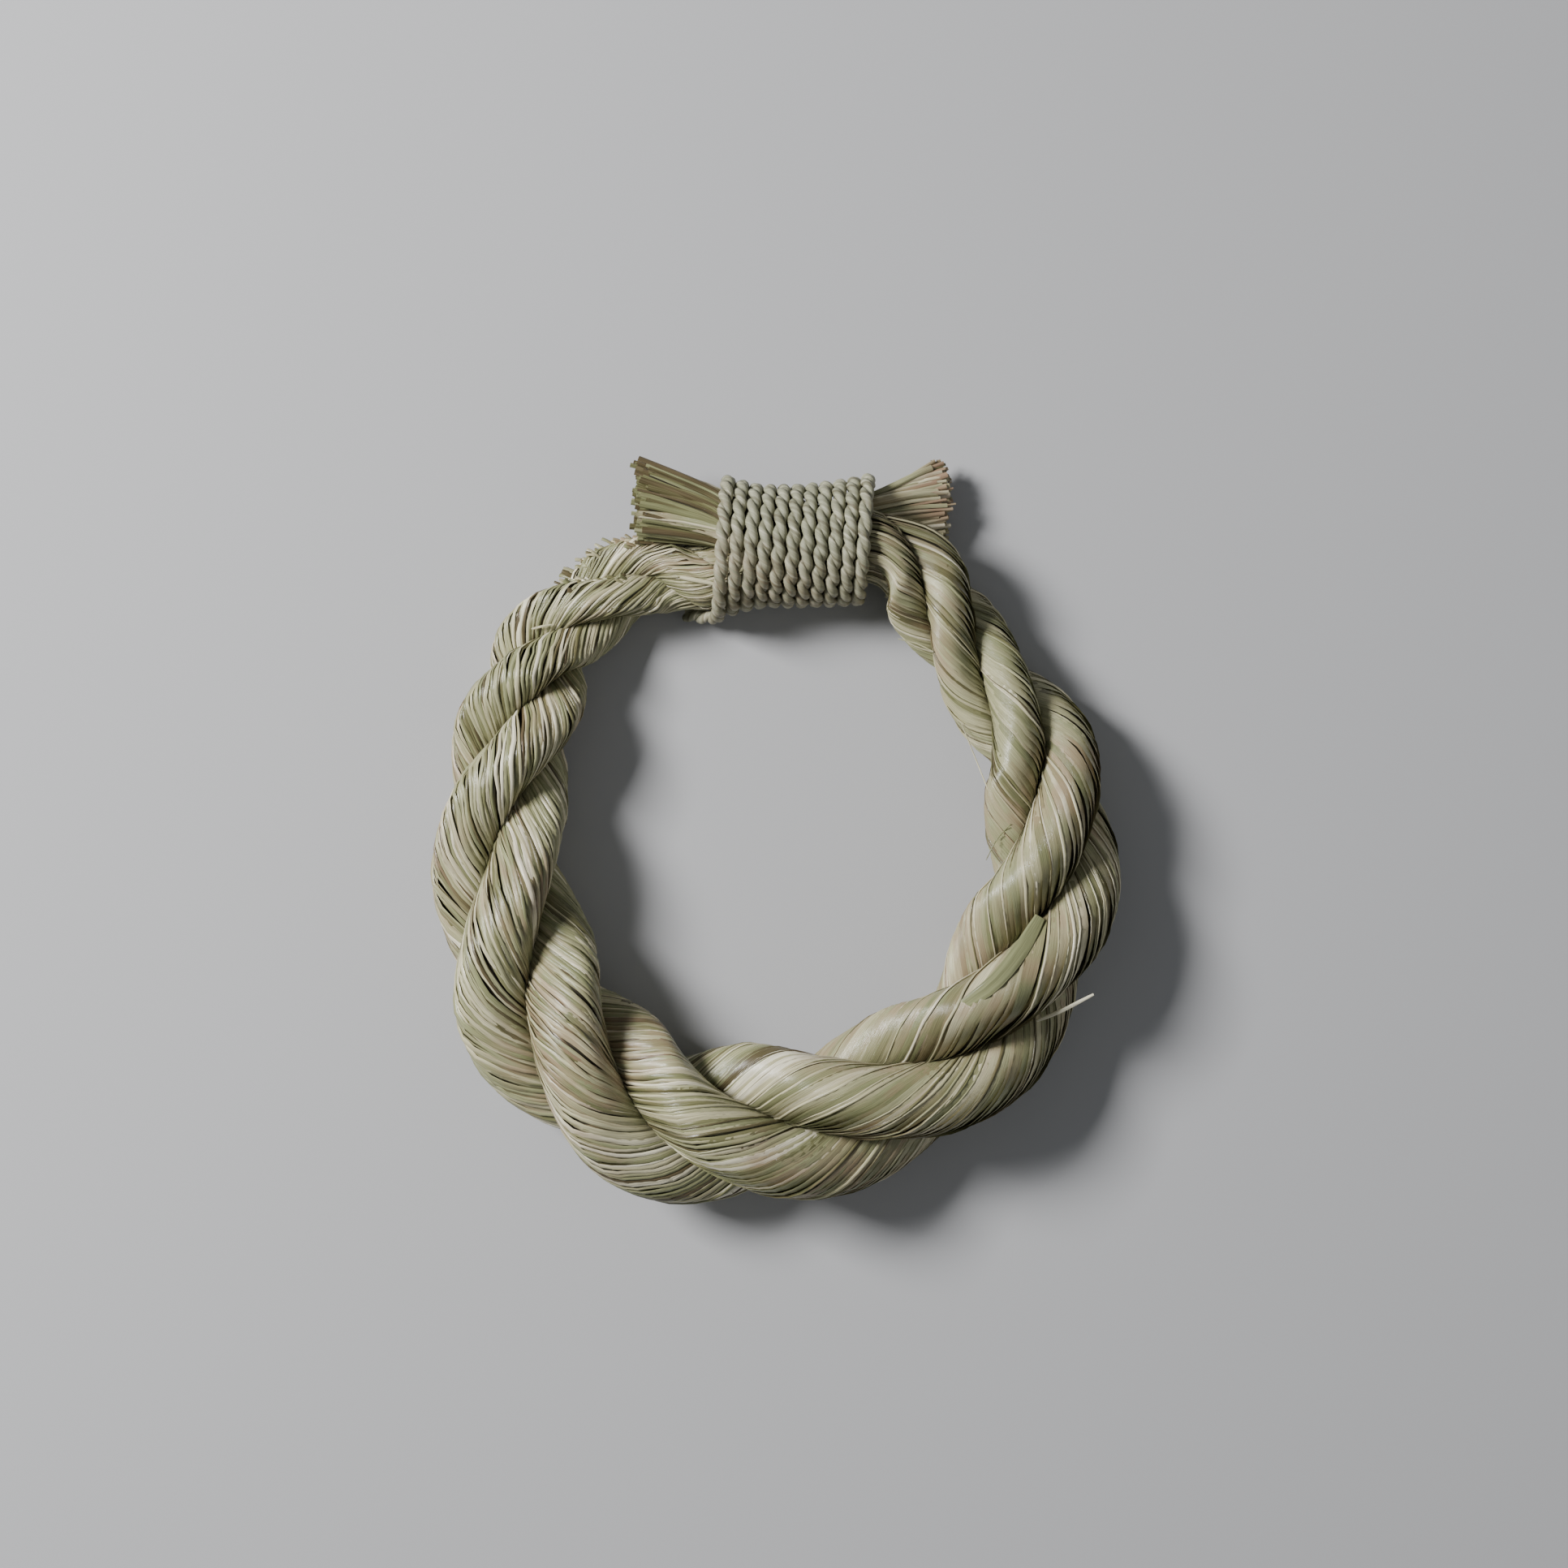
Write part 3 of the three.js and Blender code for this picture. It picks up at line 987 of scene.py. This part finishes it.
        # The under layer's stalks are made darker as painted shade.
        tone = np.clip(0.52 + own_tone - stalks.under_painted_shade * layer, *TONE_LIMITS)
        steps = np.linalg.norm(np.diff(line, axis=1), axis=-1)
        along = np.concatenate([np.zeros((count, 1)), np.cumsum(steps, axis=1)], axis=1)
        # Painted shade: the depth mark grows towards the groove and on the under layer.
        groove = GROOVE_SHADE.at(np.abs(psi))
        depth = np.clip(groove * stalks.groove_painted_shade + stalks.under_shade * layer, 0.0, 1.0)
        across = across * (1 + stalks.blade_lines * broad[:, :, None])
        skein.add(points, tone=tone, across=across, along=along, depth=depth, worn=1.0)

    def _threads(self, draw: Draw, skein: Skein, bundles: Bundles) -> None:
        """The narrow straws of this strand; the near-black ones are painted shade that stands for
        gaps between stalks.
        """
        count, edge = self.thread_count, self.edge
        start = draw.uniform(4.8, self.last_lay, count)
        q = self.q[None, :]
        lay = start[:, None] + 2 * edge / (self.twist * self.rope.sector) * q
        share = self.rope.share_at(lay)
        wobble = waves(draw, count, 5, self.q)
        swell = bundles.swell(start, self.q)
        psi = edge - 2 * edge * q + 1.5 * wobble + self.stalks.bend * swell
        lift = draw.uniform(0.1, 0.55, count)[:, None] + self.stalks.bulge * swell
        lift = lift + self._ridge(bundles, start, lay, psi)
        line, normal = self.rope.surface(self.index, share, psi, lift)
        width = draw.uniform(0.3, 0.75, count)[:, None] * np.ones_like(q)
        points, across = sweep(line, normal, width, width * 0.7, skein.sides)
        # Near-black threads are painted shade standing for gaps; the others are pale straws.
        dark = draw.random(count) < 0.38
        tones = draw.uniform(0.02, 0.2, count), draw.uniform(0.45, 0.95, count)
        marks = {"tone": np.where(dark, *tones), "across": across, "along": q * 90.0}
        # Painted shade towards the groove.
        skein.add(points, **marks, depth=GROOVE_SHADE.at(np.abs(psi)), worn=0.5)

    def _ridge(self, bundles: Bundles, start: Array, lay: Array, psi: Array) -> Array:
        """How far each stalk stands out where it is bent over the rope's two edges."""
        facing = self.rope.sector * (0.5 + lay - self.index) + psi
        rise = np.zeros_like(lay)
        for side, ridge in enumerate(RIDGES):
            own = ridge.bearing + ridge.shift * bundles.level(start, side)[:, None]
            off = np.abs((facing - own + 180.0) % 360.0 - 180.0)
            top = graded(ridge.rise, bundles.level(start, len(RIDGES) + side)[:, None])
            slope = np.maximum(0.0, 1 - off / ridge.half_width)
            rise += ridge.kept.at(lay) * ridge.height * top * slope
        return rise

    def cut_ends(self) -> bpy.types.Object:
        """The cut stalks that stick out of the binding at both sides, and the loose straws."""
        draw = np.random.default_rng(CUT_SEED + self.index)
        skein = Skein(f"{self.node}_cut_ends", self.tuft_rings + 2, self.cut_sides)
        for left in (False, True):
            self._tuft(draw, skein, left)
        self._fringe(draw, skein)
        self._strays(skein)
        return skein.make()

    def _strays(self, skein: Skein) -> None:
        """The loose straws of this strand."""
        q = np.linspace(0.0, 1.0, skein.rings)
        taper = 1 - 0.35 * np.abs(2 * q - 1)[None] ** 3
        for stray in STRAYS:
            if stray.strand != self.index:
                continue
            line = spline(np.array(stray.points), q)[None] + self.rope.shift
            width = stray.width * taper
            height = np.minimum(width * 0.6, 0.35)
            up = np.broadcast_to(UP, line.shape)
            points, across = sweep(line, up, width, height, skein.sides)
            marks = {"tone": stray.tone, "across": across, "along": (q * 25.0)[None]}
            skein.add(points, **marks, depth=0.0, worn=0.0)

    def _fringe(self, draw: Draw, skein: Skein) -> None:
        """The ragged straw ends of this strand."""
        lay = draw.uniform(-0.15, 0.7, self.fringe_count)
        facing = draw.normal(58.0, 13.0, self.fringe_count)
        crest = self.rope.sector * (0.5 + lay - self.index)
        psi = (facing - crest + 180.0) % 360.0 - 180.0
        own = np.abs(psi) < 95.0
        lay, psi = lay[own], psi[own]
        count = len(lay)
        share = self.rope.share_at(lay)
        rooted = self.rope.surface(self.index, share, psi, -0.8)
        foot, normal = (vectors[:, None, :] for vectors in rooted)
        lean = np.array([-0.9, 0.32, 0.05]) + draw.normal(0.0, 0.2, (count, 3))
        reach = draw.uniform(3.5, 9.0, count)[:, None, None]
        q = np.linspace(0.0, 1.0, skein.rings)[None, :, None]
        path = unit(lean)[:, None, :] * q * reach
        line = foot - path * 0.3 + path + normal * 2.0 * q * (1 - q)
        width = draw.uniform(0.5, 1.2, count)[:, None] * np.ones((1, skein.rings))
        up = np.broadcast_to(normal, line.shape)
        points, across = sweep(line, up, width, width * 0.6, skein.sides)
        tone = np.clip(draw.normal(0.45, 0.3, count), *TONE_LIMITS)
        along = q * reach
        skein.add(points, tone=tone, across=across, along=along, depth=0.0, worn=1.4)

    def _tuft(self, draw: Draw, skein: Skein, left: bool) -> None:
        """One tuft's stalks that belong to this strand."""
        rope, total = self.rope, self.tuft_count
        number = np.arange(total)
        reach = np.sqrt((number + 0.5) / total) * 0.97
        loose = draw.normal(0.0, 0.3, total) / (reach * 6.0 + 1)
        angle = number * math.pi * GOLDEN_SHARE + loose
        reach = reach * draw.uniform(0.96, 1.03, total)
        turn = 2 * math.pi / rope.strands
        mine = ((angle + turn / 2) % (2 * math.pi)) < turn
        reach, angle = reach[mine], angle[mine]
        count = len(reach)
        spans = len(rope.centres) - 1
        inside = (spans - 1.5) / spans if left else 1.5 / spans
        uneven = draw.uniform(-0.0045, 0.0, count)
        end = 1.0 + uneven if left else -uneven
        q = np.linspace(0.0, 1.0, self.tuft_rings)[None, :]
        share = inside + (end[:, None] - inside) * q
        middle = turn * (0.5 + rope.place(share)["lay"] - self.index)
        line = rope.inside_section(share, reach[:, None] + 0 * q, middle + angle[:, None])
        splay = draw.normal(0.0, 1.0, (count, 1, 3)) * np.array([0.0, 1.5, 1.0])
        line = line + splay * (q**2)[..., None]
        outward = -1.0 if left else 1.0
        line[..., 0] += outward * draw.normal(0.2, 2.0, count)[:, None] * q**3
        thick = draw.lognormal(0.0, 0.34, count)[:, None]
        radius = 0.95 * thick * np.ones_like(q)
        roll = draw.normal(0.0, 0.5, count)[:, None]
        height = radius * draw.uniform(0.4, 0.85, count)[:, None]
        up = np.broadcast_to(UP, line.shape)
        points, across = sweep(line, up, radius, height, skein.sides, roll)
        centre = line[:, -1:, None, :]
        rim = points[:, -1:]
        back = np.array([-outward * self.hollow_depth, 0.0, 0.0])
        hollow = draw.uniform(0.45, 0.7, (count, 1, 1, 1))
        lip = centre + (rim - centre) * hollow
        bottom = centre + (rim - centre) * hollow * 0.9 + back
        points = np.concatenate([points, lip, bottom], axis=1)
        across = np.concatenate([across, across[:, -1:], across[:, -1:]], axis=1)
        side = line[:, -1, 1]
        high = np.clip((side - side.mean()) / 8.0, 0.0, 1.0)
        typical = graded((0.18, -0.12), high) if left else np.full(count, 0.63)
        tone = np.clip(draw.normal(typical, 0.16), *TONE_LIMITS)
        # Painted shade at the bottom of each cut stalk's hollow end.
        depth = np.zeros(points.shape[:3])
        depth[:, -1] = 1.0
        along = np.concatenate([q * 30.0, [[30.0, 32.0]]], axis=1)
        worn = 0.12 if left else 1.7
        skein.add(points, tone=tone, across=across, along=along, depth=depth, worn=worn)


@dataclass
class BindingCord:
    """The thin cord of two twisted plies, wound round both ends of the rope.

    A fibre keeps its tone for tone_steps steps, and turns once while the cord goes on by
    fibre_twist times ply_twist.
    """

    coil: Coil
    shift: Array
    plies: int = 2
    ply_twist: float = 16.5
    ply_offset: float = 1.17
    ply_radius: float = 1.78
    fibres: int = 9
    fibre_twist: float = 1.1
    fibre_height: float = 0.13
    # fibre_shade and inner_shade are painted shade in the cord's creases and where its plies meet.
    fibre_shade: float = 0.45
    tone: Pair = (0.5, 0.24)
    tone_steps: int = 24
    lines: float = 1.4
    inner_shade: Pair = (-0.9, 0.55)
    step: float = 1.1
    sides: int = 27

    def make(self) -> bpy.types.Object:
        """Makes both plies as one piece."""
        line = self.coil.route(self.step) + self.shift
        along = unit(np.gradient(line, axis=0))
        outward = self._outward(line, along)
        beside = np.cross(along, outward)
        walked = np.arange(len(line)) * self.step
        skein = Skein("binding_cord_plies", len(line), self.sides)
        draw = np.random.default_rng(CORD_SEED)
        slope, darkest = self.inner_shade
        for ply in range(self.plies):
            turn = 2 * math.pi * (ply / self.plies) - 2 * math.pi * walked / self.ply_twist
            centre = line + self._round(outward, beside, turn) * self.ply_offset
            own = unit(np.gradient(centre, axis=0))
            facing = square_to(unit(self._round(outward, beside, turn)), own)
            side = np.cross(own, facing)
            angle = 2 * math.pi * np.arange(self.sides) / self.sides
            roll = 2 * math.pi * walked / (self.ply_twist * self.fibre_twist)
            fibre = (angle[None, :] + roll[:, None]) * self.fibres / (2 * math.pi)
            ridges = np.abs(np.sin(math.pi * fibre))
            uneven = draw.normal(0.0, 0.025, len(line))[:, None]
            radius = self.ply_radius + self.fibre_height * ridges + uneven
            corners = (
                centre[:, None, :]
                + facing[:, None, :] * (np.cos(angle) * radius)[..., None]
                + side[:, None, :] * (np.sin(angle) * radius)[..., None]
            )
            rows = len(line) // self.tone_steps + 2
            own_tones = draw.normal(*self.tone, (rows, self.fibres))
            row = (np.arange(len(line)) / self.tone_steps).astype(int)
            number = np.floor(fibre).astype(int) % self.fibres
            tone = np.clip(own_tones[row[:, None], number], *TONE_LIMITS)[None]
            across = (fibre - np.floor(fibre))[None] * self.lines
            # Painted shade: darker between the fibre ridges and on each ply's inner side, where the
            # plies meet.
            inner = np.clip(slope * np.cos(angle), 0.0, darkest)
            depth = (self.fibre_shade * (1 - ridges) + inner)[None]
            marks = {"tone": tone, "across": across, "along": walked[None], "depth": depth}
            skein.add(corners[None], **marks, worn=1.0)
        return skein.make()

    def _outward(self, line: Array, along: Array) -> Array:
        """The direction away from the coil's axis, square to the cord."""
        y = line[:, 1] - self.shift[1] - self.coil.centre_y(line[:, 0] - self.shift[0])
        away = unit(np.stack([0 * y, y, line[:, 2] - self.coil.centre_z], axis=-1))
        return square_to(away, along)

    @staticmethod
    def _round(outward: Array, beside: Array, turn: Array) -> Array:
        """A direction turned round the cord."""
        return outward * np.cos(turn)[:, None] + beside * np.sin(turn)[:, None]


@dataclass(frozen=True)
class Lamp:
    """One square soft light that faces the ring, in metres and watts."""

    name: str
    place: Triple
    size: float
    power: float

    def hang(self) -> None:
        """Adds the light."""
        data = bpy.data.lights.new(self.name, "AREA")
        data.size = self.size
        data.energy = self.power
        light = put(self.name, data)
        light.location = self.place
        light.rotation_euler = (-light.location).to_track_quat("-Z", "Y").to_euler()


@dataclass(frozen=True)
class Studio:
    """Pale floor, soft light from the upper left, and the camera straight above.

    ring_pixel is where the photo, pixels wide, has the ring's middle; scale is millimetres for
    each of its pixels.
    """

    rope: Rope
    lens: float = 85.0
    sensor: float = 36.0
    pixels: float = 1932.0
    ring_pixel: Pair = (960.5, 1027.5)
    scale: float = 0.33
    look_height: float = 30.0
    floor_size: float = 4.0
    lamps: tuple[Lamp, ...] = (
        Lamp("key", (-1.4, 0.62, 1.4), 0.62, 74.0),
        Lamp("fill", (1.6, -0.6, 1.6), 2.0, 4.0),
    )

    def camera(self) -> None:
        """Sets the camera over the ring, as the photo has it."""
        offset = (self.pixels / 2 - np.array(self.ring_pixel)) * self.scale
        distance = self.lens / self.sensor * self.pixels * self.scale
        data = bpy.data.cameras.new("camera")
        data.lens = self.lens
        data.sensor_width = self.sensor
        camera = put("camera", data)
        camera.location = (
            (offset[0] + self.rope.shift[0]) * MM,
            (-offset[1] + self.rope.shift[1]) * MM,
            (distance + self.look_height) * MM,
        )
        bpy.context.scene.camera = camera

    def floor(self) -> None:
        """Lays the pale floor."""
        bm = bmesh.new()
        bmesh.ops.create_grid(bm, x_segments=2, y_segments=2, size=self.floor_size / 2)
        mesh = bpy.data.meshes.new("floor")
        bm.to_mesh(mesh)
        bm.free()
        material = bpy.data.materials.new("pale_floor")
        material.use_nodes = True
        shader = material.node_tree.nodes["Principled BSDF"]
        shader.inputs["Base Color"].default_value = (0.47, 0.47, 0.48, 1.0)
        shader.inputs["Roughness"].default_value = 0.85
        mesh.materials.append(material)
        floor = put("floor", mesh)

    def lights(self) -> None:
        """Hangs the lights and lights the room."""
        for lamp in self.lamps:
            lamp.hang()
        world = bpy.data.worlds.new("room")
        world.use_nodes = True
        background = world.node_tree.nodes["Background"]
        background.inputs["Color"].default_value = (0.9, 0.95, 1.0, 1.0)
        background.inputs["Strength"].default_value = 0.15
        bpy.context.scene.world = world


def main() -> None:
    """Makes every piece, dresses it and sets the studio."""
    logging.basicConfig(level=logging.INFO, format="%(message)s")
    rope = Rope()
    straw = StrawFinish("dry_straw", STRAW_TONES).material()
    heart = StrawFinish("strand_heart_painted_shade", HEART_SHADE_TONES, roughness=(0.8, 0.95)).material()
    cord = StrawFinish("cord_straw", CORD_TONES, stain_share=0.5, roughness=(0.38, 0.6))
    for index in range(rope.strands):
        strand = Strand(rope, index)
        dress(strand.heart(), heart, Slot.STRAW, strand.node)
        dress(strand.wound(), straw, Slot.STRAW, strand.node)
        dress(strand.cut_ends(), straw, Slot.STRAW, strand.node)
    plies = BindingCord(rope.coil, rope.shift).make()
    dress(plies, cord.material(), Slot.CORD, "binding_cord")
    studio = Studio(rope)
    studio.camera()
    studio.floor()
    studio.lights()


if __name__ == "__main__":
    main()
